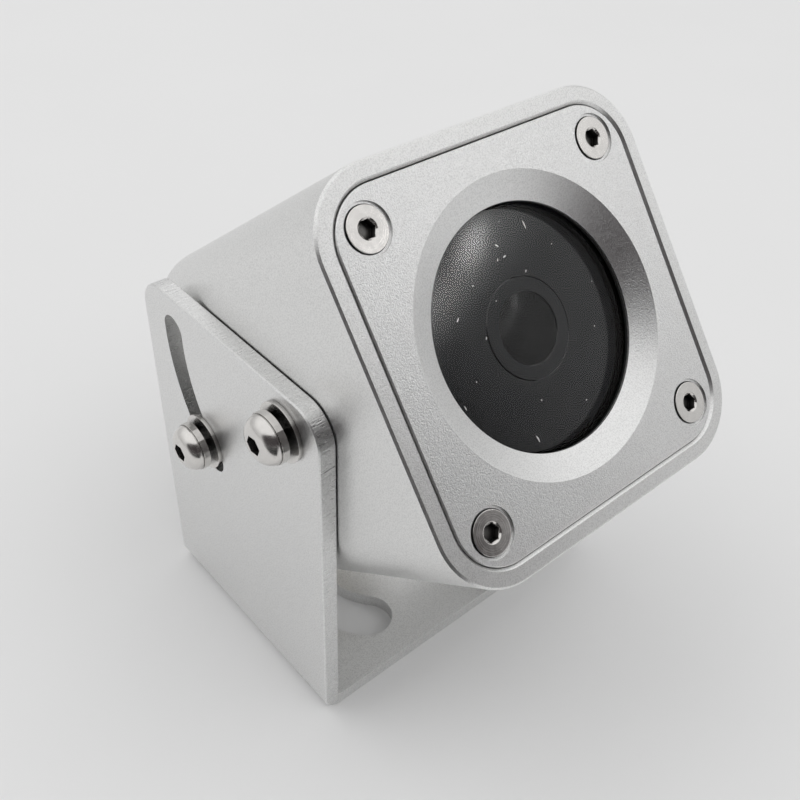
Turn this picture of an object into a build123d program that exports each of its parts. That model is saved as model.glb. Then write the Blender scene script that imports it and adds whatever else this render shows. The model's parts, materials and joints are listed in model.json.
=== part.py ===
from build123d import *
import math
import os

# Vehicle camera: a square aluminium camera head that tilts between the two arms of a
# folded U-shaped bracket. Millimetres, +Z up, the lens looks towards -Y.
# The origin is the middle of the underside of the bracket's base.

# Bracket: one folded sheet
sheet_t = 2.0
bracket_depth = 34.0
bracket_height = 49.0
bend_inner_r = 0.5
arm_corner_r = 4.0
arm_gap = 0.15
edge_break = 0.15
pivot_set_back = 6.2
pivot_drop = 4.9
centre_hole_r = 3.3
base_slot_r = 14.6
base_slot_w = 6.6
base_slot_half_angle = 42.0

# Tilt: angle of the lens axis above level
tilt_rest = 38.5
tilt_up = 45.0
tilt_down = -1.0
lock_r = 21.5
slot_side_clearance = 0.35

# Housing: one milled cup, closed at the back
housing_w = 43.0
housing_corner_r = 7.8
front_reach = 16.6
rear_round = 1.0
front_chamfer = 0.25
side_wall = 5.0
rear_wall = 3.5
cavity_corner_r = 12.0
rim_w = 2.0
rim_inner_chamfer = 0.3
recess_off_centre = 0.1

# Front plate, its gasket and the window
plate_gap = 0.14
plate_t = 4.0
plate_chamfer = 0.1
gasket_t = 0.5
cone_r = 15.9
cone_depth = 1.4
window_r = 13.0
lip_t = 0.3
window_seal_t = 0.3
glass_lip = 1.3
glass_t = 1.0
glass_gap = 0.15

# Plate screws: countersunk, hex socket
plate_screw_inset = 6.05
csk_head_r = 2.28
csk_land = 0.2
csk_shank_r = 1.25
csk_length = 8.0
csk_recess = 0.05
csk_bore_gap = 0.35
csk_hex_af = 1.75
csk_hex_depth = 1.0
hex_lead_in = 0.15

# Arm screws: button heads on a spring washer and a flat washer
m3_shank_r = 1.5
m3_length = 8.0
button_r = 2.85
button_land = 0.2
button_h = 1.65
button_flat_r = 1.4
button_dome_r = 1.75
m3_hex_af = 2.0
m3_hex_depth = 1.05
m3_hex_turn_deg = 30.0
flat_washer_r = 3.5
flat_washer_t = 0.5
spring_washer_r = 3.0
spring_washer_t = 0.8
spring_open = 0.75
spring_gap_deg = 8.0
spring_gap_at_deg = 205.0
spring_rise_deg = 110.0
spring_sections = 24
washer_bore_gap = 0.1

# Lens, its holder and the black shroud round it
shroud_front_gap = 0.15
shroud_slope_depth = 0.6
shroud_disc_t = 1.2
shroud_rim_w = 1.4
shroud_tube_t = 1.2
lens_front_gap = 0.1
nose_r = 5.35
nose_len = 2.7
lens_thread_r = 5.9
lens_len = 12.0
lens_back_gap = 0.4
front_element_r = 3.85
front_element_t = 2.0
front_element_crown = 0.12
middle_element_r = 2.95
middle_element_t = 1.8
rear_element_r = 3.35
rear_element_t = 2.0
stop_r = 1.1
stop_t = 2.0
stop_back = 7.2
lock_ring_t = 1.5
lock_ring_w = 1.2
holder_tube_t = 1.2
holder_tube_len = 5.0
holder_base_edge = 0.3
holder_base_corner_r = 3.0
holder_base_t = 6.0
holder_ear_reach = 3.5
holder_ear_w = 5.0
holder_ledge_t = 0.6
holder_ledge_hole_r = 3.6
sensor_room_w = 10.0
sensor_room_h = 3.2
filter_w = 9.0
filter_t = 0.5
sensor_w = 7.5
sensor_t = 1.2

# Boards and what stands on them
board_t = 1.6
board_gap = 1.0
board_spacing = 8.4
rear_room = 7.6
board_hole_inset = 5.2
m2_shank_r = 1.0
m2_head_r = 1.9
m2_head_h = 1.2
m2_grip = 4.0
standoff_r = 2.0
stud_len = 2.0
holder_screw_inset = 2.0
link_w = 10.0
link_d = 2.5
link_inset = 3.0
connector_w = 8.0
connector_d = 4.0
connector_h = 4.5
connector_wall = 0.6
connector_mouth = 2.2
inductor_w = 5.0
inductor_corner_r = 1.0
inductor_h = 3.0
capacitor_r = 2.5
capacitor_h = 5.0
component_pitch = 6.5

# Cable gland in the back wall
gland_thread_r = 6.0
gland_thread_end = 1.0
gland_hex_af = 14.0
gland_hex_t = 3.5
gland_bore_r = 3.4
gland_outer_r = 5.6
gland_outer_len = 4.5
gland_seat_depth = 3.0
gland_seal_r = 4.3
gland_seal_len = 4.5
gland_cord_r = 2.25
gland_ring_t = 1.0
gland_ring_w = 1.2
gland_nut_top = 1.3
gland_nut_dome = 3.0
gland_nut_wall = 1.2
locknut_af = 15.0
locknut_t = 3.0

# Clearances
slip = 0.1
nose_gap = 0.15
element_gap = 0.05
thread_gap = 0.02
running_gap = 0.1
tip_gap = 0.2
stack_gap = 0.2

# Worked out from the sizes above
half = housing_w / 2
cavity_half = half - side_wall
arm_inner_x = half + arm_gap
arm_outer_x = arm_inner_x + sheet_t
bend_outer_r = bend_inner_r + sheet_t
pivot_y = pivot_set_back - bracket_depth / 2
pivot_z = bracket_height - pivot_drop
seat_depth = plate_t + gasket_t
recess_half = half - rim_w
plate_half = recess_half - plate_gap
plate_corner_r = housing_corner_r - rim_w - plate_gap
screw_x = half - plate_screw_inset
seal_depth = cone_depth + lip_t
glass_depth = seal_depth + window_seal_t
glass_back = glass_depth + glass_t
glass_r = window_r + glass_lip
shroud_r = glass_r - slip
mask_depth = glass_back + shroud_front_gap
lens_depth = glass_back + lens_front_gap
holder_ledge_depth = lens_depth + lens_len + lens_back_gap
sensor_room_start = holder_ledge_depth + holder_ledge_t
sensor_board_depth = sensor_room_start + sensor_room_h
holder_base_depth = sensor_board_depth - holder_base_t
holder_front_depth = holder_base_depth - holder_tube_len
holder_bore_r = lens_thread_r + slip
holder_tube_r = holder_bore_r + holder_tube_t
holder_base_half = holder_tube_r + holder_base_edge
power_board_depth = sensor_board_depth + board_t + board_spacing
board_half = cavity_half - board_gap
board_corner_r = cavity_corner_r - board_gap
board_hole_x = board_half - board_hole_inset
cavity_depth = power_board_depth + board_t + rear_room
housing_len = cavity_depth + rear_wall
spring_h = spring_washer_t + spring_open
head_base_x = arm_outer_x + flat_washer_t + spring_h


def depth_y(depth):
    """Y of a point that lies this far behind the front face, in the level head."""
    return depth - front_reach


def slab(sketch, start, end):
    """Solid with this outline in the XZ plane, between two depths behind the front face."""
    return extrude(Plane.XZ.offset(front_reach - start) * sketch, amount=start - end)


def turned(points):
    """Solid turned about the lens axis from (radius, depth) points."""
    outline = Polyline([(r, depth_y(d)) for r, d in points], close=True)
    return revolve(make_face(outline), Axis.Y)


def tube(outer_r, inner_r, start, end):
    """Ring about the lens axis between two depths."""
    return slab(Circle(outer_r) - Circle(inner_r), start, end)


def hexagon(across_flats):
    """Hexagon with this size across its flats."""
    return RegularPolygon(across_flats / 2, 6, major_radius=False)


def corners(offset):
    """The four corner points at this offset from the lens axis."""
    return [(x, z) for x in (-offset, offset) for z in (-offset, offset)]


def posts(radius, places, start, end):
    """Round posts along the lens axis at these (x, z) places."""
    return [slab(Pos(x, z) * Circle(radius), start, end) for x, z in places]


def square(half_side, corner_r):
    """Square outline with round corners."""
    return RectangleRounded(2 * half_side, 2 * half_side, corner_r)


# Bracket

def arc_slot(radius, width, start_deg, end_deg):
    """Outline of a slot that follows an arc about the origin of its plane."""
    middle = CenterArc((0, 0), radius, start_deg, end_deg - start_deg)
    return SlotArc(middle, width)


def make_bracket():
    outer = Pos(0, bracket_height / 2) * Rectangle(2 * arm_outer_x, bracket_height)
    outer = fillet(outer.vertices().group_by(Axis.Y)[0], bend_outer_r)
    inner = Pos(0, sheet_t + bracket_height / 2) * Rectangle(2 * arm_inner_x, bracket_height)
    inner = fillet(inner.vertices().group_by(Axis.Y)[0], bend_inner_r)
    folded = extrude(Plane.XZ * (outer - inner), amount=bracket_depth / 2, both=True)
    side = Pos(0, bracket_height / 2) * Rectangle(bracket_depth, bracket_height)
    side = fillet(side.vertices().group_by(Axis.Y)[-1], arm_corner_r)
    bracket = folded & extrude(Plane.YZ * side, amount=arm_outer_x, both=True)
    # deburred edges on the outside of the sheet
    outside = [e for e in bracket.edges() if on_outer_edge(e)]
    bracket = chamfer(outside, edge_break)
    # arms: the pivot holes and the slots that the lock screws travel in
    slot_w = 2 * (m3_shank_r + slot_side_clearance)
    holes = Circle(m3_shank_r + running_gap) + arc_slot(lock_r, slot_w, -tilt_up, -tilt_down)
    through = extrude(Plane.YZ * Pos(pivot_y, pivot_z) * holes, amount=arm_outer_x, both=True)
    bracket -= through
    # base: the centre hole and a curved slot on each side of it
    pattern = Circle(centre_hole_r)
    for middle in (0, 180):
        start = middle - base_slot_half_angle
        pattern += arc_slot(base_slot_r, base_slot_w, start, middle + base_slot_half_angle)
    bracket -= extrude(pattern, amount=sheet_t)
    return bracket


def on_outer_edge(edge):
    """True for an edge of the folded blank that lies on an arm's or the base's outer face."""
    centre = edge.center()
    box = edge.bounding_box()
    at_side = min(abs(box.min.X), abs(box.max.X)) > arm_outer_x - 0.01
    at_end = min(abs(box.min.Y), abs(box.max.Y)) > bracket_depth / 2 - 0.01
    at_top = centre.Z > bracket_height - arm_corner_r - 0.01
    return at_side and (at_end or at_top)


# Housing

def make_housing():
    body = slab(square(half, housing_corner_r), 0, housing_len)
    body = fillet(body.faces().sort_by(Axis.Y)[-1].edges(), rear_round)
    body = chamfer(body.faces().sort_by(Axis.Y)[0].edges(), front_chamfer)
    # the front plate's recess was milled slightly to the right of the middle
    recess = slab(square(recess_half, housing_corner_r - rim_w), 0, seat_depth)
    body -= Pos(recess_off_centre, 0, 0) * recess
    inner_edges = body.faces().sort_by(Axis.Y)[0].inner_wires()[0].edges()
    body = chamfer(inner_edges, rim_inner_chamfer)
    body -= slab(square(cavity_half, cavity_corner_r), seat_depth, cavity_depth)
    tip = csk_recess + csk_length
    body -= posts(csk_shank_r + thread_gap, corners(screw_x), seat_depth, tip + tip_gap)
    stud_end = cavity_depth + stud_len
    body -= posts(m2_shank_r + thread_gap, corners(board_hole_x), cavity_depth, stud_end)
    body -= slab(Circle(gland_thread_r + slip), cavity_depth, housing_len)
    # threaded holes in both sides for the pivot and lock screws
    end_x = head_base_x - m3_length - tip_gap
    hole = Pos(0, 0, end_x) * extrude(Circle(m3_shank_r + thread_gap), amount=half - end_x)
    for y in (0, lock_r):
        body -= Pos(0, y, 0) * Rot(0, 90, 0) * hole
        body -= Pos(0, y, 0) * Rot(0, -90, 0) * hole
    return body


# Front plate, window and seals

def countersink():
    """What one plate screw needs cut away in the front plate."""
    land_end = csk_recess + csk_land
    hole_r = csk_shank_r + slip
    top_r = csk_head_r + slip
    cone_end = land_end + top_r - hole_r
    return turned([(0, 0), (csk_head_r + csk_bore_gap, 0), (csk_head_r + csk_bore_gap, land_end),
                   (top_r, land_end), (hole_r, cone_end), (hole_r, plate_t), (0, plate_t)])


def make_front_plate():
    plate = slab(square(plate_half, plate_corner_r), 0, plate_t)
    plate = chamfer(plate.faces().sort_by(Axis.Y)[0].edges(), plate_chamfer)
    pocket_r = glass_r + glass_gap
    plate -= turned([(0, 0), (cone_r, 0), (window_r, cone_depth), (window_r, seal_depth),
                     (pocket_r, seal_depth), (pocket_r, plate_t), (0, plate_t)])
    for x, z in corners(screw_x):
        plate -= Pos(x, 0, z) * countersink()
    return plate


def make_front_gasket():
    sheet = square(plate_half, plate_corner_r) - square(cavity_half, cavity_corner_r)
    for x, z in corners(screw_x):
        sheet -= Pos(x, z) * Circle(csk_shank_r + slip)
    return slab(sheet, plate_t, seat_depth)


def make_plate_screw(x, z):
    land_end = csk_recess + csk_land
    cone_end = land_end + csk_head_r - csk_shank_r
    tip = csk_recess + csk_length
    screw = turned([(0, csk_recess), (csk_head_r, csk_recess), (csk_head_r, land_end),
                    (csk_shank_r, cone_end), (csk_shank_r, tip), (0, tip)])
    screw -= slab(hexagon(csk_hex_af), csk_recess, csk_recess + csk_hex_depth)
    lead_r = csk_hex_af / math.sqrt(3) + hex_lead_in / 2
    lead_end_r = lead_r - hex_lead_in
    screw -= turned([(0, csk_recess), (lead_r, csk_recess),
                     (lead_end_r, csk_recess + hex_lead_in), (0, csk_recess + hex_lead_in)])
    return Pos(x, 0, z) * screw


# Screws and washers on the arms, made at the right arm's pivot

def make_button_screw():
    top = head_base_x + button_h
    land = head_base_x + button_land
    edge = Polyline((top, 0), (top, button_flat_r))
    dome = RadiusArc((top, button_flat_r), (land, button_r), -button_dome_r)
    rest = Polyline((land, button_r), (head_base_x, button_r), (head_base_x, m3_shank_r),
                    (head_base_x - m3_length, m3_shank_r), (head_base_x - m3_length, 0), (top, 0))
    outline = make_face(Plane.XZ * (edge + dome + rest))
    screw = revolve(outline, Axis.X)
    floor = Plane.YZ.offset(top - m3_hex_depth) * Rot(0, 0, m3_hex_turn_deg)
    return screw - extrude(floor * hexagon(m3_hex_af), amount=m3_hex_depth)


def make_flat_washer():
    ring = Circle(flat_washer_r) - Circle(m3_shank_r + washer_bore_gap)
    return extrude(Plane.YZ.offset(arm_outer_x) * ring, amount=flat_washer_t)


def spring_lift(turn):
    """How far the open spring washer stands off at this angle along its turn."""
    share = min(turn / spring_rise_deg, 1.0)
    return spring_open * (0.5 - 0.5 * math.cos(math.pi * share))


def make_spring_washer():
    """Split ring, still open: it climbs from the flat washer to the screw's head."""
    inner_r = m3_shank_r + washer_bore_gap
    base_x = arm_outer_x + flat_washer_t
    sections = []
    for i in range(spring_sections + 1):
        turn = (360 - spring_gap_deg) * i / spring_sections
        angle = math.radians(spring_gap_at_deg - spring_gap_deg / 2 - turn)
        x0 = base_x + spring_lift(turn)
        corner_points = []
        for x, r in ((x0, inner_r), (x0, spring_washer_r),
                     (x0 + spring_washer_t, spring_washer_r), (x0 + spring_washer_t, inner_r)):
            corner_points.append((x, r * math.cos(angle), r * math.sin(angle)))
        sections.append(make_face(Polyline(corner_points, close=True)))
    return loft(sections, ruled=True)


# Lens and shroud

def make_lens_shroud():
    tube_inner_r = holder_tube_r + slip
    tube_outer_r = tube_inner_r + shroud_tube_t
    disc_end = mask_depth + shroud_disc_t
    rim_inner_r = shroud_r - shroud_rim_w
    bore_r = nose_r + nose_gap
    # the visible front is a very shallow cone that falls away from the lens
    mask_edge_depth = mask_depth + shroud_slope_depth
    return turned([(bore_r, mask_depth), (rim_inner_r, mask_edge_depth), (rim_inner_r, glass_back),
                   (shroud_r, glass_back), (shroud_r, disc_end), (tube_outer_r, disc_end),
                   (tube_outer_r, holder_base_depth), (tube_inner_r, holder_base_depth),
                   (tube_inner_r, disc_end), (bore_r, disc_end)])


def make_lens_barrel():
    seat_r = front_element_r + element_gap
    middle_r = middle_element_r + element_gap
    rear_r = rear_element_r + element_gap
    seat_end = lens_depth + front_element_t
    nose_end = lens_depth + nose_len
    stop_start = lens_depth + stop_back - stop_t
    stop_end = lens_depth + stop_back
    lens_end = lens_depth + lens_len
    return turned([(seat_r, lens_depth), (nose_r, lens_depth), (nose_r, nose_end),
                   (lens_thread_r, nose_end), (lens_thread_r, lens_end), (rear_r, lens_end),
                   (rear_r, stop_end), (stop_r, stop_end), (stop_r, stop_start),
                   (middle_r, stop_start), (middle_r, seat_end), (seat_r, seat_end)])


def make_front_element():
    """Round lens, slightly domed in front."""
    crown = front_element_crown
    dome_r = (front_element_r ** 2 + crown ** 2) / (2 * crown)
    front = (0, depth_y(lens_depth))
    edge = (front_element_r, depth_y(lens_depth + crown))
    back = depth_y(lens_depth + front_element_t)
    dome = RadiusArc(front, edge, -dome_r)
    rest = Polyline(edge, (front_element_r, back), (0, back), front)
    return revolve(make_face(dome + rest), Axis.Y)


def make_lens_holder():
    ears = Rectangle(2 * (holder_base_half + holder_ear_reach), holder_ear_w)
    foot = square(holder_base_half, holder_base_corner_r) + ears
    holder = slab(foot, holder_base_depth, sensor_board_depth)
    holder += slab(Circle(holder_tube_r), holder_front_depth, holder_base_depth)
    room = Rectangle(sensor_room_w, sensor_room_w)
    holder -= slab(room, sensor_room_start, sensor_board_depth)
    holder -= slab(Circle(holder_ledge_hole_r), holder_ledge_depth, sensor_room_start)
    holder -= slab(Circle(holder_bore_r), holder_front_depth, holder_ledge_depth)
    hole_start = sensor_board_depth - m2_grip - tip_gap
    hole_r = m2_shank_r + thread_gap
    holder -= posts(hole_r, holder_screw_places(), hole_start, sensor_board_depth)
    return holder


def holder_screw_places():
    """One place in each ear of the holder's base."""
    x = holder_base_half + holder_ear_reach - holder_screw_inset
    return [(-x, 0), (x, 0)]


# Boards

def board(start):
    sheet = square(board_half, board_corner_r)
    for x, z in corners(board_hole_x):
        sheet -= Pos(x, z) * Circle(m2_shank_r + slip)
    return slab(sheet, start, start + board_t)


def make_sensor_board():
    result = board(sensor_board_depth)
    end = sensor_board_depth + board_t
    result -= posts(m2_shank_r + slip, holder_screw_places(), sensor_board_depth, end)
    return result


def screws(places, head_start, direction, grip):
    """Pan-head screws; direction +1 points their shanks backwards."""
    result = []
    for x, z in places:
        head_end = head_start + direction * m2_head_h
        shank_end = head_end + direction * grip
        head = slab(Pos(x, z) * Circle(m2_head_r), *sorted((head_start, head_end)))
        shank = slab(Pos(x, z) * Circle(m2_shank_r), *sorted((head_end, shank_end)))
        result.append(head + shank)
    return Compound(result)


def make_standoffs(start, end, bored_to):
    """Round columns between two depths, each bored from its front end."""
    result = []
    for x, z in corners(board_hole_x):
        column = slab(Pos(x, z) * Circle(standoff_r), start, end)
        column -= slab(Pos(x, z) * Circle(m2_shank_r + thread_gap), start, bored_to)
        result.append(column)
    return result


def make_front_standoffs():
    start = sensor_board_depth + board_t
    shank_end = sensor_board_depth + m2_grip + tip_gap
    columns = make_standoffs(start, power_board_depth, shank_end)
    stud_end = power_board_depth + board_t + stud_len
    studs = posts(m2_shank_r, corners(board_hole_x), power_board_depth, stud_end)
    return Compound([c + s for c, s in zip(columns, studs)])


def make_rear_standoffs():
    start = power_board_depth + board_t
    columns = make_standoffs(start, cavity_depth, start + stud_len + tip_gap)
    studs = posts(m2_shank_r, corners(board_hole_x), cavity_depth, cavity_depth + stud_len - tip_gap)
    return Compound([c + s for c, s in zip(columns, studs)])


def make_board_link():
    z = board_half - link_inset
    outline = Pos(0, z) * Rectangle(link_w, link_d)
    return slab(outline, sensor_board_depth + board_t, power_board_depth)


def on_power_board(outline, height):
    start = power_board_depth - height
    return slab(outline, start, power_board_depth)


def make_wire_connector():
    z = link_inset - board_half
    outline = Pos(0, z) * Rectangle(connector_w, connector_d)
    mouth_w = connector_w - 2 * connector_wall
    mouth_d = connector_d - 2 * connector_wall
    mouth = Pos(0, z) * Rectangle(mouth_w, mouth_d)
    start = power_board_depth - connector_h
    return on_power_board(outline, connector_h) - slab(mouth, start, start + connector_mouth)


def make_power_inductor():
    outline = Pos(-component_pitch, 0) * RectangleRounded(inductor_w, inductor_w, inductor_corner_r)
    return on_power_board(outline, inductor_h)


def make_power_capacitors():
    places = [(component_pitch, -capacitor_r - slip), (component_pitch, capacitor_r + slip)]
    start = power_board_depth - capacitor_h
    return Compound(posts(capacitor_r, places, start, power_board_depth))


# Cable gland

gland_hex_depth = housing_len + gland_ring_t
gland_hex_end = gland_hex_depth + gland_hex_t
gland_body_end = gland_hex_end + gland_outer_len
seal_start = gland_body_end - gland_seat_depth


def make_gland_body():
    start = cavity_depth - locknut_t - gland_thread_end
    seat_r = gland_seal_r + slip
    body = turned([(gland_bore_r, start), (gland_thread_r, start),
                   (gland_thread_r, gland_hex_depth), (gland_outer_r, gland_hex_end),
                   (gland_outer_r, gland_body_end), (seat_r, gland_body_end),
                   (seat_r, seal_start), (gland_bore_r, seal_start)])
    flange = hexagon(gland_hex_af) - Circle(gland_outer_r - slip)
    return body + slab(flange, gland_hex_depth, gland_hex_end)


def make_gland_nut():
    start = gland_hex_end + stack_gap
    thread_end = gland_body_end + stack_gap
    inner_end = seal_start + gland_seal_len + stack_gap
    end = inner_end + gland_nut_top
    dome_start = end - gland_nut_dome
    body = slab(hexagon(gland_hex_af), start, dome_start)
    body += turned([(0, dome_start), (gland_hex_af / 2, dome_start),
                    (gland_seal_r + slip + gland_nut_wall, end), (0, end)])
    thread_r = gland_outer_r + slip
    seal_r = gland_seal_r + slip
    body -= turned([(0, start), (thread_r, start), (thread_r, thread_end),
                    (seal_r, thread_end), (seal_r, inner_end), (gland_bore_r, inner_end),
                    (gland_bore_r, end), (0, end)])
    return body


def make_gland_locknut():
    outline = hexagon(locknut_af) - Circle(gland_thread_r + thread_gap)
    return slab(outline, cavity_depth - locknut_t, cavity_depth)


# All nodes, in the level head's frame apart from the bracket

lock_ring_end = holder_front_depth - stack_gap

head = {
    "housing": make_housing(),
    "front_plate": make_front_plate(),
    "front_gasket": make_front_gasket(),
    "window_seal": tube(glass_r, window_r, seal_depth, glass_depth),
    "window_glass": slab(Circle(glass_r), glass_depth, glass_back),
    "lens_shroud": make_lens_shroud(),
    "lens_barrel": make_lens_barrel(),
    "lens_front_element": make_front_element(),
    "lens_middle_element": slab(Circle(middle_element_r),
                                lens_depth + stop_back - stop_t - middle_element_t,
                                lens_depth + stop_back - stop_t),
    "lens_rear_element": slab(Circle(rear_element_r), lens_depth + stop_back,
                              lens_depth + stop_back + rear_element_t),
    "lens_lock_ring": tube(lens_thread_r + lock_ring_w, lens_thread_r + thread_gap,
                           lock_ring_end - lock_ring_t, lock_ring_end),
    "lens_holder": make_lens_holder(),
    "holder_screws": screws(holder_screw_places(), sensor_board_depth + board_t + m2_head_h,
                            -1, board_t + m2_grip),
    "infrared_filter": slab(Rectangle(filter_w, filter_w), sensor_room_start,
                            sensor_room_start + filter_t),
    "image_sensor": slab(Rectangle(sensor_w, sensor_w), sensor_board_depth - sensor_t,
                         sensor_board_depth),
    "sensor_board": make_sensor_board(),
    "board_screws": screws(corners(board_hole_x), sensor_board_depth - m2_head_h, 1, m2_grip),
    "front_standoffs": make_front_standoffs(),
    "power_board": board(power_board_depth),
    "rear_standoffs": make_rear_standoffs(),
    "board_link": make_board_link(),
    "wire_connector": make_wire_connector(),
    "power_inductor": make_power_inductor(),
    "power_capacitors": make_power_capacitors(),
    "gland_body": make_gland_body(),
    "gland_ring": tube(gland_thread_r + slip + gland_ring_w, gland_thread_r + slip,
                       housing_len, gland_hex_depth),
    "gland_locknut": make_gland_locknut(),
    "gland_seal": tube(gland_seal_r, gland_cord_r, seal_start, seal_start + gland_seal_len),
    "gland_nut": make_gland_nut(),
}

for vertical, z in (("top", screw_x), ("bottom", -screw_x)):
    for side, x in (("left", -screw_x), ("right", screw_x)):
        head[f"plate_screw_{vertical}_{side}"] = make_plate_screw(x, z)

arm_pieces = {
    "screw": make_button_screw(),
    "spring_washer": make_spring_washer(),
    "flat_washer": make_flat_washer(),
}
for name, y in (("pivot", 0), ("lock", lock_r)):
    for side, half_turn in (("right", 0), ("left", 180)):
        for piece, solid in arm_pieces.items():
            head[f"{name}_{piece}_{side}"] = Pos(0, y, 0) * Rot(0, 0, half_turn) * solid

tilted = Pos(0, pivot_y, pivot_z) * Rot(-tilt_rest, 0, 0)

os.makedirs("parts", exist_ok=True)
export_step(make_bracket(), "parts/bracket.step")
for name, solid in head.items():
    export_step(tilted * solid, f"parts/{name}.step")
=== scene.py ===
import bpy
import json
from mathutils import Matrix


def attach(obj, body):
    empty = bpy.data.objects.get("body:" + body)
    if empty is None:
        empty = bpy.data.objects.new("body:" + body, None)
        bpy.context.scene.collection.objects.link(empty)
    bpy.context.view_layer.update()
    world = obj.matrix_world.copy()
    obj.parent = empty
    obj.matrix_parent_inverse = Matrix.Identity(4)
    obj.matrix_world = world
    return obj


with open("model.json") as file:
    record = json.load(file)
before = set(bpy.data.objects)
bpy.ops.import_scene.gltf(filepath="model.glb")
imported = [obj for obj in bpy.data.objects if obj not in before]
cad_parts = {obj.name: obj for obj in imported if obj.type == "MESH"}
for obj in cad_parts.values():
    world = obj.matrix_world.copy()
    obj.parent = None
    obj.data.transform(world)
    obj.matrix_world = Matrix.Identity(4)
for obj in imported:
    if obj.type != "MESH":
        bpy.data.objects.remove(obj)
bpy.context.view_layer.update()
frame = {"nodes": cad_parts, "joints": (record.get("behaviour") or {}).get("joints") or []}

import json
import math
import bmesh
import bpy
from mathutils import Matrix, Vector

# Looks of a vehicle camera. Metres, +Z up, the lens looks towards -Y and up.

MM = 0.001

# Camera: position, then angles in degrees, then focal length in millimetres
CAMERA_AT = Vector((-65.921, -75.102, 113.495)) * MM
CAMERA_AZIMUTH = 42.204
CAMERA_DOWN = 40.341
CAMERA_ROLL = -2.452
CAMERA_LENS = 45.035

# Studio: width of the floor, and the tones of the floor, of the soft light all round and of
# what shows past the floor
FLOOR_SIZE = 6.0
FLOOR_TONE = 0.755
WORLD_DIFFUSE = 0.755
BACKDROP = 0.73

# How bright the surroundings are in reflections, by angle in degrees: azimuth, counted from
# -Y towards +X, and elevation. The sky runs between two elevations, each with its tone. The
# dark oval is the unlit room behind the camera, and its edge is a share of its half size.
SKY_LOW = (3, 0.61)
SKY_HIGH = (45, 1.0)
DARK_CENTRE = (-28, 19.3)
DARK_HALF = (63, 28.2)
DARK_EDGE = (0.93, 1.11)
DARK_TONE = (0.055, 0.048, 0.05, 1)
# Soft light strip and the wider, dimmer one beside it: centre, half size, slope, brightness
STRIPS = (((44.3, 27.25), (1.55, 0.78), 17.3, 5.5), ((34.2, 26.4), (10.2, 1.43), 1.6, 4.1))

# Lamps: name, position, width and watts
LAMPS = (("key", (-0.47, 0.67, 1.07), 1.2, 3.8), ("fill", (0.37, -0.56, 1.11), 1.0, 3.0))
LAMP_TARGET = Vector((0, 0, 0.03))

# Dark card that lies just above the floor, where only mirrors see it
CARD_SIZE = 1.2
CARD_AT = (-0.64, -0.66, 0.0005)

# The head's own axes at rest, from the tilt joint and the angle of the lens above level
PIVOT = Vector(frame["joints"][0]["pos_m"])
TILT = math.radians(38.5)
LENS_AXIS = Vector((0, -math.cos(TILT), math.sin(TILT)))
HEAD_UP = Vector((0, math.sin(TILT), math.cos(TILT)))
SIDEWAYS = Vector((1, 0, 0))
PIVOT_TO_FRONT = 16.6
PIVOT_TO_LOCK = 21.5
FRONT = PIVOT + PIVOT_TO_FRONT * MM * LENS_AXIS
LOCK_SCREW = PIVOT - PIVOT_TO_LOCK * MM * LENS_AXIS

# Where the window lies and the screws' heads end, how far the mask's clear coat reaches and
# how far behind the face the capacitors' bases lie, in millimetres
GLASS_DEPTH = 2.0
PLATE_SCREW_AT = 15.45
PLATE_SCREW_DEPTH = 0.05
ARM_SCREW_FACE = 27.35
MASK_R = 12.78
CAN_BASE_DEPTH = (27.9, 28.1)

# Marks of wear, in millimetres: where an arm's thickness starts, counted from the middle; the
# nick across the left arm's front edge, with its height, slope and the X and Y past which it
# lies; and the scuff on the housing's left side, as right, up and behind the face
ARM_INSIDE = (21.4, 21.8)
NICK_HEIGHT = 44.52
NICK_SLOPE = 0.09
NICK_X = -21.7
NICK_Y = -16.9
SCUFF_AT = (-21.5, 0.6, 16.1)
SCUFF_R = 5.35

# Pitch of the rings on turned steel, in millimetres
RING_PITCH = 0.12

# Boards, in millimetres: patches whose tracks run the same way, pitch of the tracks and of the
# pins, and how far left of and below the lens axis they are counted from
TRACK_CELL = (5.2, 3.9)
TRACK_PITCH = 0.65
PIN_PITCH = 1.0
BOARD_REACH = 40.0

# How strongly the mask and the lens behind the window mirror, as refractive indices
MASK_COAT = 1.4
LENS_COAT = 1.27


def at_depth(right, up, depth):
    """Point of the head at rest: millimetres right and up of the lens axis, behind the face."""
    return FRONT + MM * (right * SIDEWAYS + up * HEAD_UP - depth * LENS_AXIS)


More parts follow.
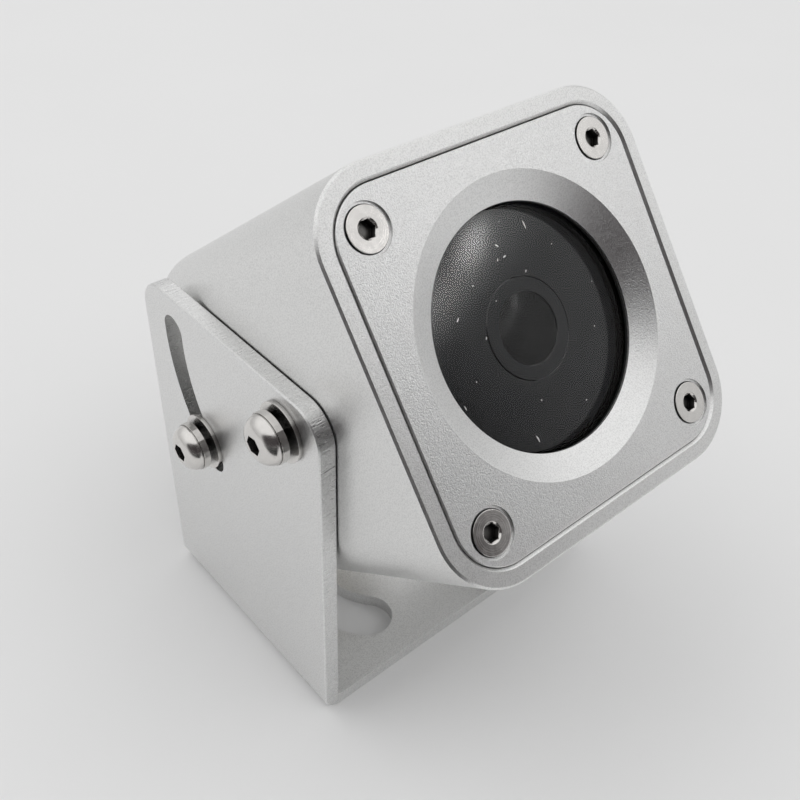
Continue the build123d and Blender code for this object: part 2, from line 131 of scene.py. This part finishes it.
class Shader:
    """Builds a node tree: each call adds one node and links or sets its inputs."""

    def __init__(self, owner):
        owner.use_nodes = True
        self.tree = owner.node_tree
        self.tree.nodes.clear()

    def node(self, kind, inputs=None, **settings):
        node = self.tree.nodes.new("ShaderNode" + kind)
        for key, value in settings.items():
            setattr(node, key, value)
        for key, value in (inputs or {}).items():
            self.plug(value, node.inputs[key])
        return node

    def plug(self, value, socket):
        if isinstance(value, bpy.types.NodeSocket):
            self.tree.links.new(value, socket)
        else:
            socket.default_value = value

    def math(self, operation, *values):
        return self.node("Math", dict(enumerate(values)), operation=operation).outputs[0]

    def product(self, first, *others):
        for other in others:
            first = self.math("MULTIPLY", first, other)
        return first

    def vector(self, operation, *values):
        node = self.node("VectorMath", dict(enumerate(values)), operation=operation)
        return node.outputs["Value" if operation in ("DOT_PRODUCT", "LENGTH") else "Vector"]

    def place(self):
        """Position in the row frame, in millimetres."""
        where = self.node("TexCoord").outputs["Object"]
        return self.vector("MULTIPLY", where, (1 / MM, 1 / MM, 1 / MM))

    def facing(self):
        """How far the surface faces along X, Y and Z, as three sizes from 0 to 1."""
        normal = self.node("TexCoord").outputs["Normal"]
        return self.node("SeparateXYZ", {0: self.vector("ABSOLUTE", normal)}).outputs

    def along(self, where, point, axis):
        """Distance from a point, in millimetres, counted along an axis."""
        return self.vector("DOT_PRODUCT", self.vector("SUBTRACT", where, tuple(point / MM)),
                           tuple(axis))

    def from_line(self, where, point, axis):
        """Distance in millimetres from the line through a point."""
        offset = self.vector("SUBTRACT", where, tuple(point / MM))
        return self.vector("LENGTH", self.vector("CROSS_PRODUCT", offset, tuple(axis)))

    def noise(self, where, scale, detail=2.0, roughness=0.5):
        inputs = {"Vector": where, "Scale": scale, "Detail": detail, "Roughness": roughness}
        return self.node("TexNoise", inputs).outputs["Fac"]

    def lines(self, value, scale, detail=2.0):
        """Noise that changes along one value only."""
        inputs = {"W": value, "Scale": scale, "Detail": detail}
        return self.node("TexNoise", inputs, noise_dimensions="1D").outputs["Fac"]

    def ramp(self, value, low, high, start=0.0, end=1.0):
        """Value carried smoothly from the range low-high to start-end, held at both ends."""
        inputs = {"Value": value, "From Min": low, "From Max": high, "To Min": start, "To Max": end}
        return self.node("MapRange", inputs, interpolation_type="SMOOTHSTEP").outputs["Result"]

    def mix(self, share, first, second):
        """Colour between two others; the node's colour sockets have no names of their own."""
        node = self.node("Mix", {0: share, 6: first, 7: second}, data_type="RGBA")
        return node.outputs[2]

    def blend(self, share, first, second):
        """Number between two others."""
        node = self.node("Mix", {0: share, 2: first, 3: second}, data_type="FLOAT")
        return node.outputs[0]

    def rounded(self, radius_mm):
        """Normal that rounds the sharp edges off."""
        return self.node("Bevel", {"Radius": radius_mm * MM}, samples=6).outputs["Normal"]

    def open_air(self, reach_mm):
        """How open the surface is to its surroundings: 1 in the open, less in gaps and corners."""
        inputs = {"Distance": reach_mm * MM}
        return self.node("AmbientOcclusion", inputs, samples=6).outputs["AO"]

    def bump(self, height, depth_mm, normal=None):
        inputs = {"Height": height, "Distance": depth_mm * MM, "Strength": 1.0}
        if normal is not None:
            inputs["Normal"] = normal
        return self.node("Bump", inputs).outputs["Normal"]

    def square_on(self):
        """Normal of a flat surface that faces along the lens, whatever the shape."""
        inputs = {"Vector": tuple(LENS_AXIS)}
        return self.node("VectorTransform", inputs, vector_type="NORMAL", convert_from="OBJECT",
                         convert_to="WORLD").outputs[0]

    def finish(self, inputs):
        surface = self.node("BsdfPrincipled", inputs)
        output = self.node("OutputMaterial")
        self.tree.links.new(surface.outputs[0], output.inputs["Surface"])


def new_material(name):
    material = bpy.data.materials.new(name)
    return material, Shader(material)


def grey(value, tint=(1.0, 1.0, 1.0)):
    return (value * tint[0], value * tint[1], value * tint[2], 1)


BLACK = grey(0.0)


def dress(material, *nodes):
    """Gives these carried-over nodes a material."""
    for name in nodes:
        for each in frame["nodes"][name].material_slots:
            each.material = material


# Metals

def blasted_metal(name, tone, roughness, depth, edge, marks=None):
    """Bead-blasted, clear anodised aluminium: a fine even grain with small glints."""
    material, s = new_material(name)
    where = s.place()
    fine = s.noise(where, 6.8, 1.5, 0.6)
    coarse = s.noise(where, 2.6, 2.0)
    cloud = s.noise(where, 0.11, 3.0)
    height = s.math("ADD", fine, s.math("MULTIPLY", coarse, 0.25))
    shade = s.product(s.ramp(cloud, 0.3, 0.7, 0.98, 1.0), s.ramp(fine, 0.3, 0.7, 0.84, 1.08))
    rough = s.math("ADD", s.ramp(coarse, 0.3, 0.7, roughness - 0.03, roughness + 0.03),
                   s.ramp(cloud, 0.3, 0.7, -0.01, 0.01))
    normal = s.bump(height, depth, s.rounded(edge))
    if marks:
        shade, rough, normal = marks(s, where, shade, rough, normal)
    s.finish({"Base Color": s.mix(shade, BLACK, tone), "Metallic": 1.0, "Roughness": rough,
              "Normal": normal})
    return material


def bracket_marks(s, where, shade, rough, normal):
    """The sheet's cut edges: fine cutting lines across the thickness, and one deep nick."""
    face = s.facing()
    parts = s.node("SeparateXYZ", {0: where}).outputs
    on_arm = s.ramp(s.math("ABSOLUTE", parts["X"]), *ARM_INSIDE)
    cut = s.product(on_arm, s.ramp(face["X"], 0.15, 0.5, 1.0, 0.0))
    lines = s.noise(s.vector("MULTIPLY", where, (0.25, 1.0, 1.0)), 3.0, 3.0, 0.7)
    hair = s.noise(s.vector("MULTIPLY", where, (0.15, 1.0, 1.0)), 8.0, 2.0)
    cut_height = s.product(cut, s.math("ADD", lines, s.math("MULTIPLY", hair, 0.4)))
    normal = s.bump(cut_height, 0.1, normal)
    # the nick runs slightly downhill towards the outside of the left arm's front edge
    level = s.math("SUBTRACT", parts["Z"], s.math("MULTIPLY", parts["X"], NICK_SLOPE))
    near = s.math("ABSOLUTE", s.math("SUBTRACT", level, NICK_HEIGHT))
    half_width = s.ramp(s.noise(where, 2.5), 0.3, 0.7, 0.02, 0.09)
    nick = s.product(s.math("LESS_THAN", near, half_width),
                     s.math("LESS_THAN", parts["X"], NICK_X),
                     s.math("LESS_THAN", parts["Y"], NICK_Y), cut)
    shade = s.product(shade, s.ramp(nick, 0.0, 1.0, 1.0, 0.25))
    rough = s.blend(cut, rough, s.ramp(lines, 0.3, 0.7, 0.26, 0.36))
    return shade, rough, normal


def housing_marks(s, where, shade, rough, normal):
    """Faint curved scuff on the left side, where the arm's front corner has rubbed."""
    spot = at_depth(*SCUFF_AT)
    ragged = s.ramp(s.noise(where, 3.2, 3.0), 0, 1, -0.5, 0.5)
    radius = s.math("ADD", s.from_line(where, spot, SIDEWAYS), ragged)
    line = s.ramp(s.math("ABSOLUTE", s.math("SUBTRACT", radius, SCUFF_R)), 0.03, 0.13, 1.0, 0.0)
    # only its upper front quarter shows, on the left side, and it comes and goes
    above = s.ramp(s.along(where, spot, HEAD_UP), 2.2, 3.4)
    ahead = s.ramp(s.along(where, spot, LENS_AXIS), 0.6, 1.4)
    on_left = s.ramp(s.along(where, spot, SIDEWAYS), -1.0, 1.0, 1.0, 0.0)
    broken = s.ramp(s.noise(where, 1.9, 2.0), 0.45, 0.6)
    scuff = s.product(line, above, ahead, on_left, broken)
    shade = s.product(shade, s.ramp(scuff, 0.0, 1.0, 1.0, 0.7))
    rough = s.math("ADD", rough, s.math("MULTIPLY", scuff, 0.15))
    return shade, rough, normal


def turned_metal(name, face, axis, tone, roughness, socket_r, edge=0.08):
    """Turned steel, from the middle of the head's face and the direction it looks in.

    It has fine rings about its own axis, and painted shade darkens its socket and the gaps and
    corners.
    """
    material, s = new_material(name)
    where = s.place()
    radius = s.from_line(where, face, axis)
    rings = s.lines(s.math("DIVIDE", radius, RING_PITCH), 1.0)
    blotch = s.noise(where, 1.3, 3.0)
    rough = s.math("ADD", s.ramp(rings, 0.3, 0.7, roughness - 0.03, roughness + 0.04),
                   s.ramp(blotch, 0.35, 0.65, -0.02, 0.03))
    socket = s.product(s.ramp(s.along(where, face, -axis), 0.12, 0.3),
                       s.ramp(radius, socket_r, socket_r + 0.05, 1.0, 0.0))
    # Painted shade: the colour darkens inside the socket, and where the surface is shut in, in gaps
    # between washers and in corners; the blotches are random tone
    shade = s.product(s.ramp(blotch, 0.3, 0.7, 0.94, 1.0),
                      s.ramp(s.open_air(1.1), 0.4, 0.8, 0.06, 1.0),
                      s.ramp(socket, 0.0, 1.0, 1.0, 0.3))
    s.finish({"Base Color": s.mix(shade, BLACK, tone), "Metallic": 1.0,
              "Roughness": s.blend(socket, rough, 0.35),
              "Normal": s.bump(rings, 0.0015, s.rounded(edge))})
    return material


def plain_metal(name, tone, roughness, stain):
    """Plated or bare small metal parts, with a slightly stained surface."""
    material, s = new_material(name)
    where = s.place()
    cloud = s.noise(where, 0.9, 3.0)
    fine = s.noise(where, 7.0, 2.0)
    tint = s.mix(s.ramp(cloud, 0.4, 0.75, 0.0, 0.5), tone, stain)
    rough = s.math("ADD", s.ramp(cloud, 0.3, 0.7, roughness - 0.04, roughness + 0.08),
                   s.ramp(fine, 0.3, 0.7, -0.03, 0.03))
    s.finish({"Base Color": tint, "Metallic": 1.0, "Roughness": rough,
              "Normal": s.bump(fine, 0.004, s.rounded(0.1))})
    return material


# Moulded, painted and rubber parts

def dull(name, tone, roughness, grain=3.0, depth=0.01, light=0.85, level=0.3):
    """Anything matt: moulded, painted, rubber or anodised black."""
    material, s = new_material(name)
    where = s.place()
    fine = s.noise(where, grain, 3.0)
    cloud = s.noise(where, 0.25, 3.0)
    patchy = s.math("ADD", cloud, s.math("MULTIPLY", fine, 0.3))
    tint = s.mix(s.ramp(patchy, 0.4, 0.9, light, 1.0), BLACK, tone)
    rough = s.math("ADD", s.ramp(fine, 0.3, 0.7, roughness - 0.05, roughness + 0.05),
                   s.ramp(cloud, 0.3, 0.7, -0.03, 0.03))
    s.finish({"Base Color": tint, "Metallic": 0.0, "Roughness": rough,
              "Specular IOR Level": level, "Normal": s.bump(fine, depth, s.rounded(0.1))})
    return material


def window_pane():
    """Flat glass, coated so that it mirrors nothing, and very slightly smeared."""
    material, s = new_material("window_glass")
    smear = s.noise(s.place(), 0.16, 3.0)
    tint = s.mix(s.ramp(smear, 0.35, 0.65, 0.97, 1.0), BLACK, grey(1.0))
    s.finish({"Base Color": tint, "Metallic": 0.0, "IOR": 1.5, "Transmission Weight": 1.0,
              "Roughness": 0.0, "Specular Tint": BLACK})
    return material


def glass(name, tone, coat_ior):
    """Clear glass, slightly smeared, that mirrors a little and doesn't shift what it covers."""
    material, s = new_material(name)
    smear = s.noise(s.place(), 0.16, 3.0)
    tint = s.mix(s.ramp(smear, 0.35, 0.65, 0.97, 1.0), BLACK, tone)
    s.finish({"Base Color": tint, "Metallic": 0.0, "IOR": 1.01, "Transmission Weight": 1.0,
              "Roughness": s.ramp(smear, 0.45, 0.8, 0.0, 0.02), "Coat Weight": 1.0,
              "Coat IOR": coat_ior, "Coat Roughness": 0.0})
    return material


def lens_front_painted_shade():
    """Front of the lens: an opaque, near-black surface under a clear coat, painted shade that
    stands in for the dark inside of the lens.
    """
    material, s = new_material("lens_front_painted_shade")
    where = s.place()
    hue = s.ramp(s.noise(where, 0.6, 2.0), 0.3, 0.7)
    # Painted shade: the colour is near black and nothing shows through it, in place of the dark
    # inside of the lens
    tint = s.mix(hue, (0.001, 0.0012, 0.001, 1), (0.002, 0.0017, 0.0015, 1))
    rough = s.ramp(s.noise(where, 1.2, 2.0), 0.3, 0.7, 0.02, 0.05)
    s.finish({"Base Color": tint, "Roughness": rough, "Specular IOR Level": 0.06,
              "Coat Weight": 1.0, "Coat IOR": LENS_COAT,
              "Coat Roughness": 0.0, "Coat Normal": s.square_on()})
    return material


def shroud_black():
    """Bluish black mask under a thin clear coat; at its outer edge painted shade, jet black and
    uncoated, stands in for the dark recess under the window's edge.
    """
    material, s = new_material("shroud_black")
    where = s.place()
    fine = s.noise(where, 3.0, 3.0)
    # Painted shade: past MASK_R the colour drops to near black and the coat and gloss go, for the
    # dark recess under the window's edge
    inside = s.ramp(s.from_line(where, FRONT, LENS_AXIS), MASK_R - 0.05, MASK_R, 1.0, 0.0)
    tint = s.mix(inside, grey(0.0012), grey(0.0115, (0.9, 1.0, 1.15)))
    tint = s.mix(s.ramp(fine, 0.3, 0.7, 0.9, 1.0), BLACK, tint)
    s.finish({"Base Color": tint, "Metallic": 0.0,
              "Roughness": s.ramp(s.noise(where, 0.25, 3.0), 0.3, 0.7, 0.47, 0.53),
              "Specular IOR Level": s.ramp(inside, 0.0, 1.0, 0.0, 0.06),
              "Normal": s.bump(fine, 0.0008, s.rounded(0.05)),
              "Coat Weight": inside, "Coat IOR": MASK_COAT, "Coat Roughness": 0.0,
              "Coat Normal": s.square_on()})
    return material


# Electronics, which the housing hides

def board_lacquer():
    """Green solder lacquer over copper tracks, with bare pads."""
    material, s = new_material("board_lacquer")
    where = s.place()
    across = s.math("ADD", s.along(where, FRONT, SIDEWAYS), BOARD_REACH)
    up = s.math("ADD", s.along(where, FRONT, HEAD_UP), BOARD_REACH)
    column = s.math("FLOOR", s.math("DIVIDE", across, TRACK_CELL[0]))
    row = s.math("FLOOR", s.math("DIVIDE", up, TRACK_CELL[1]))
    cell = s.node("CombineXYZ", {"X": column, "Y": row}).outputs[0]
    choice = s.node("TexWhiteNoise", {"Vector": cell}, noise_dimensions="3D").outputs["Value"]
    sideways = s.math("GREATER_THAN", choice, 0.5)
    run = s.blend(sideways, across, up)
    turn = s.math("FRACT", s.math("DIVIDE", run, TRACK_PITCH))
    off_middle = s.math("ABSOLUTE", s.math("SUBTRACT", turn, 0.5))
    track = s.product(s.ramp(off_middle, 0.17, 0.21, 1.0, 0.0),
                      s.math("GREATER_THAN", choice, 0.25))
    grid = s.node("TexVoronoi", {"Vector": where, "Scale": 0.42}).outputs["Distance"]
    pad = s.ramp(grid, 0.10, 0.12, 1.0, 0.0)
    green = s.mix(track, (0.012, 0.09, 0.035, 1), (0.02, 0.16, 0.06, 1))
    tint = s.mix(pad, green, (0.75, 0.7, 0.55, 1))
    height = s.math("ADD", track, s.math("MULTIPLY", pad, -0.5))
    s.finish({"Base Color": tint, "Metallic": pad, "Normal": s.bump(height, 0.02),
              "Roughness": s.ramp(s.noise(where, 4.0), 0.3, 0.7, 0.28, 0.38)})
    return material


def sensor_glass():
    """Image sensor: a dark, faintly gridded window in a pale ceramic frame."""
    material, s = new_material("sensor_glass")
    where = s.place()
    across = s.math("ABSOLUTE", s.along(where, FRONT, SIDEWAYS))
    up = s.math("ABSOLUTE", s.along(where, FRONT, HEAD_UP))
    inside = s.ramp(s.math("MAXIMUM", across, up), 2.75, 2.85, 1.0, 0.0)
    grid = s.noise(where, 18.0, 1.0)
    dark = s.mix(grid, (0.012, 0.01, 0.02, 1), (0.05, 0.02, 0.07, 1))
    tint = s.mix(inside, (0.35, 0.34, 0.31, 1), dark)
    s.finish({"Base Color": tint, "Roughness": s.ramp(inside, 0.0, 1.0, 0.5, 0.08)})
    return material


def pin_header():
    """Black board connector with a row of gilded pins."""
    material, s = new_material("pin_header")
    where = s.place()
    across = s.math("ADD", s.along(where, FRONT, SIDEWAYS), BOARD_REACH)
    turn = s.math("FRACT", s.math("DIVIDE", across, PIN_PITCH))
    pin = s.ramp(s.math("ABSOLUTE", s.math("SUBTRACT", turn, 0.5)), 0.16, 0.2, 1.0, 0.0)
    fine = s.noise(where, 5.0, 2.0)
    tint = s.mix(pin, s.mix(fine, (0.015, 0.015, 0.015, 1), (0.03, 0.03, 0.03, 1)),
                 (0.8, 0.58, 0.25, 1))
    s.finish({"Base Color": tint, "Metallic": pin, "Roughness": s.ramp(pin, 0.0, 1.0, 0.5, 0.25),
              "Normal": s.bump(s.math("ADD", pin, s.math("MULTIPLY", fine, 0.1)), 0.05)})
    return material


def capacitor_can():
    """Brushed aluminium cans with a dark base."""
    material, s = new_material("capacitor_can")
    where = s.place()
    depth = s.along(where, FRONT, -LENS_AXIS)
    base = s.ramp(depth, *CAN_BASE_DEPTH)
    brushed = s.lines(depth, 6.0)
    can = s.mix(brushed, (0.6, 0.6, 0.62, 1), (0.8, 0.8, 0.8, 1))
    tint = s.mix(base, can, (0.02, 0.02, 0.02, 1))
    s.finish({"Base Color": tint, "Metallic": s.math("SUBTRACT", 1.0, base),
              "Roughness": s.ramp(brushed, 0.3, 0.7, 0.25, 0.4), "Normal": s.bump(brushed, 0.004)})
    return material


ANODISED = grey(0.82, (1.0, 1.0, 0.993))
HOUSING_ANODISED = grey(0.82, (1.0, 1.0, 0.99))
STEEL = grey(0.74, (1.0, 0.975, 0.945))
NICKEL = (0.70, 0.67, 0.60, 1)
ZINC = (0.62, 0.63, 0.66, 1)
BRASS = (0.78, 0.6, 0.3, 1)

dress(blasted_metal("bracket_metal", ANODISED, 0.34, 0.008, 0.05, bracket_marks), "bracket")
dress(blasted_metal("housing_metal", HOUSING_ANODISED, 0.33, 0.018, 0.05, housing_marks), "housing")
dress(blasted_metal("plate_metal", ANODISED, 0.32, 0.026, 0.05), "front_plate")

for side, out in (("left", -1), ("right", 1)):
    for row, up in (("top", 1), ("bottom", -1)):
        face = at_depth(out * PLATE_SCREW_AT, up * PLATE_SCREW_AT, PLATE_SCREW_DEPTH)
        name = f"plate_screw_{row}_{side}"
        dress(turned_metal(name, face, LENS_AXIS, STEEL, 0.12, 1.15, 0.14), name)
    for kind, centre in (("pivot", PIVOT), ("lock", LOCK_SCREW)):
        face = centre + out * ARM_SCREW_FACE * MM * SIDEWAYS
        pieces = [f"{kind}_{piece}_{side}" for piece in ("screw", "spring_washer", "flat_washer")]
        dress(turned_metal(f"{kind}_steel_{side}", face, out * SIDEWAYS, STEEL, 0.2, 1.2), *pieces)

dress(shroud_black(), "lens_shroud", "lens_barrel")
dress(dull("ring_black", grey(0.01), 0.45, 5.0, 0.0008, 0.9, 0.15), "lens_lock_ring")
dress(dull("holder_black", grey(0.02), 0.6, 2.0, 0.02), "lens_holder")
dress(dull("seal_rubber", grey(0.015), 0.75, 4.0, 0.015), "front_gasket", "window_seal",
      "gland_ring", "gland_seal")
dress(window_pane(), "window_glass")
dress(lens_front_painted_shade(), "lens_front_element")
dress(glass("lens_glass", grey(0.95), 1.3), "lens_middle_element", "lens_rear_element")
dress(glass("filter_glass", (0.72, 0.95, 0.9, 1), 1.5), "infrared_filter")
dress(plain_metal("gland_nickel", NICKEL, 0.26, (0.55, 0.5, 0.42, 1)), "gland_body",
      "gland_locknut", "gland_nut")
dress(plain_metal("board_screw_zinc", ZINC, 0.3, (0.5, 0.5, 0.5, 1)), "board_screws",
      "holder_screws")
dress(plain_metal("standoff_brass", BRASS, 0.25, (0.5, 0.36, 0.18, 1)), "front_standoffs",
      "rear_standoffs")
dress(board_lacquer(), "sensor_board", "power_board")
dress(sensor_glass(), "image_sensor")
dress(pin_header(), "board_link")
dress(dull("connector_nylon", (0.72, 0.70, 0.62, 1), 0.45, 2.0, 0.006, 0.92), "wire_connector")
dress(dull("inductor_ferrite", (0.05, 0.048, 0.045, 1), 0.65, 6.0, 0.02), "power_inductor")
dress(capacitor_can(), "power_capacitors")


# Dust, which the solids leave out

# Each speck on the window: right and up of the lens axis and length, in millimetres, then
# direction and bend, in degrees
DUST = (
    (-0.43, 8.94, 0.5, 140, 40), (-0.36, 7.79, 0.45, 20, 60), (-1.23, 7.65, 0.3, 50, 0),
    (1.7, 5.42, 0.3, 60, 50), (3.84, 9.47, 0.9, 95, 10), (-5.34, 6.44, 0.22, 30, 30),
    (-8.7, 3.96, 0.5, 40, 15), (-6.2, 1.07, 0.34, 55, 30), (-4.65, -10.84, 0.8, 105, 35),
    (-11.56, -4.21, 0.5, 100, 20), (6.3, 6.9, 0.18, 10, 0), (7.9, -3.1, 0.2, 70, 30),
    (-2.4, -7.2, 0.16, 120, 0), (3.1, -9.6, 0.22, 15, 20), (-9.2, -2.3, 0.15, 80, 0),
    (0.9, 11.2, 0.18, 150, 10), (9.8, 1.4, 0.16, 30, 0), (-3.3, 4.1, 0.14, 0, 0),
)
DUST_STEPS = 5
DUST_LIFT = 0.012


def make_dust():
    """Short lint and specks: thin curved slivers that lie on the glass."""
    mesh = bmesh.new()
    depth = GLASS_DEPTH - DUST_LIFT
    for x, y, length, direction, bend in DUST:
        width = 0.1 + 0.03 * length
        edge_a = []
        edge_b = []
        heading = math.radians(direction - bend / 2)
        for i in range(DUST_STEPS + 1):
            # blunt at both ends
            half = 0.5 * width * math.sin(math.pi * (0.12 + 0.76 * i / DUST_STEPS))
            out_x = -math.sin(heading) * half
            out_y = math.cos(heading) * half
            edge_a.append(mesh.verts.new(at_depth(x + out_x, y + out_y, depth)))
            edge_b.append(mesh.verts.new(at_depth(x - out_x, y - out_y, depth)))
            x += length / DUST_STEPS * math.cos(heading)
            y += length / DUST_STEPS * math.sin(heading)
            heading += math.radians(bend) / DUST_STEPS
        for i in range(DUST_STEPS):
            mesh.faces.new((edge_a[i], edge_a[i + 1], edge_b[i + 1], edge_b[i]))
    data = bpy.data.meshes.new("window_dust")
    mesh.to_mesh(data)
    mesh.free()
    material, s = new_material("dust")
    where = s.place()
    tint = s.mix(s.noise(where, 9.0), grey(0.6), grey(0.9))
    s.finish({"Base Color": tint, "Roughness": s.ramp(s.noise(where, 5.0), 0.3, 0.7, 0.7, 0.95),
              "Alpha": s.ramp(s.noise(where, 12.0), 0.35, 0.65, 0.5, 0.9)})
    data.materials.append(material)
    dust = bpy.data.objects.new("window_dust", data)
    bpy.context.scene.collection.objects.link(dust)
    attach(dust, "camera_head")


# Floor, lamps, world and camera

def sheet(name, size, place, scale, low, high):
    """Matt square that lies flat and isn't part of the object; its tone wanders a little."""
    bpy.ops.mesh.primitive_plane_add(size=size, location=place)
    thing = bpy.context.object
    thing.name = name
    material, s = new_material(name)
    tone = s.mix(s.noise(s.place(), scale, 2.0), grey(low), grey(high))
    s.finish({"Base Color": tone, "Roughness": 0.9, "Specular IOR Level": 0.1})
    thing.data.materials.append(material)
    return thing


def make_floor():
    sheet("floor", FLOOR_SIZE, (0, 0, 0), 0.02, FLOOR_TONE - 0.01, FLOOR_TONE + 0.01)


def make_card():
    """Only mirrors see it: it never shows itself and never shades the floor."""
    card = sheet("dark_card", CARD_SIZE, CARD_AT, 0.05, 0.03, 0.05)
    card.visible_camera = False
    card.visible_diffuse = False
    card.visible_shadow = False


def lamp(name, place, size, energy):
    """Square soft lamp that points at the object."""
    data = bpy.data.lights.new(name, "AREA")
    data.shape = "SQUARE"
    data.size = size
    data.energy = energy
    thing = bpy.data.objects.new(name, data)
    bpy.context.scene.collection.objects.link(thing)
    thing.visible_glossy = False
    thing.location = place
    thing.rotation_euler = (LAMP_TARGET - Vector(place)).to_track_quat("-Z", "Y").to_euler()


def make_world():
    """Even light for matt surfaces, and a studio that only mirrors and glass see."""
    world = bpy.data.worlds.new("studio")
    bpy.context.scene.world = world
    s = Shader(world)
    parts = s.node("SeparateXYZ", {0: s.node("TexCoord").outputs["Generated"]}).outputs
    azimuth = s.math("DEGREES",
                     s.math("ARCTAN2", parts["X"], s.math("MULTIPLY", parts["Y"], -1.0)))
    elevation = s.math("DEGREES", s.math("ARCSINE", parts["Z"]))
    here = s.node("CombineXYZ", {"X": azimuth, "Y": elevation}).outputs[0]
    tone = s.ramp(elevation, SKY_LOW[0], SKY_HIGH[0], SKY_LOW[1], SKY_HIGH[1])
    for centre, half, degrees, bright in STRIPS:
        offset = s.vector("SUBTRACT", here, (*centre, 0))
        along = Vector((math.cos(math.radians(degrees)), math.sin(math.radians(degrees)), 0))
        across = Vector((-along.y, along.x, 0))
        length = s.vector("DOT_PRODUCT", offset, tuple(along / half[0]))
        width = s.vector("DOT_PRODUCT", offset, tuple(across / half[1]))
        square = s.math("ADD", s.product(length, length), s.product(width, width))
        glow = s.math("EXPONENT", s.math("MULTIPLY", square, -1.0))
        tone = s.math("ADD", tone, s.math("MULTIPLY", glow, bright))
    centred = s.vector("SUBTRACT", here, (*DARK_CENTRE, 0))
    unit = s.vector("MULTIPLY", centred, (1 / DARK_HALF[0], 1 / DARK_HALF[1], 1))
    oval = s.vector("LENGTH", unit)
    lit = s.node("CombineXYZ", {"X": tone, "Y": tone, "Z": tone}).outputs[0]
    mirrored = s.mix(s.ramp(oval, *DARK_EDGE), DARK_TONE, lit)
    path = s.node("LightPath").outputs
    sharp = s.math("MAXIMUM", path["Is Glossy Ray"], path["Is Transmission Ray"])
    seen = s.mix(sharp, grey(WORLD_DIFFUSE), mirrored)
    seen = s.mix(path["Is Camera Ray"], seen, grey(BACKDROP))
    background = s.node("Background", {"Color": seen, "Strength": 1.0})
    output = s.node("OutputWorld")
    s.tree.links.new(background.outputs[0], output.inputs["Surface"])


def make_camera():
    data = bpy.data.cameras.new("camera")
    data.sensor_width = 36
    data.lens = CAMERA_LENS
    data.clip_start = 0.01
    camera = bpy.data.objects.new("camera", data)
    bpy.context.scene.collection.objects.link(camera)
    turn = (Matrix.Rotation(math.radians(-CAMERA_AZIMUTH), 4, "Z")
            @ Matrix.Rotation(math.radians(90 - CAMERA_DOWN), 4, "X")
            @ Matrix.Rotation(math.radians(-CAMERA_ROLL), 4, "Z"))
    camera.matrix_world = Matrix.Translation(CAMERA_AT) @ turn
    bpy.context.scene.camera = camera


make_dust()
make_floor()
make_card()
for each in LAMPS:
    lamp(*each)
make_world()
make_camera()
bpy.context.scene.view_settings.view_transform = "Standard"
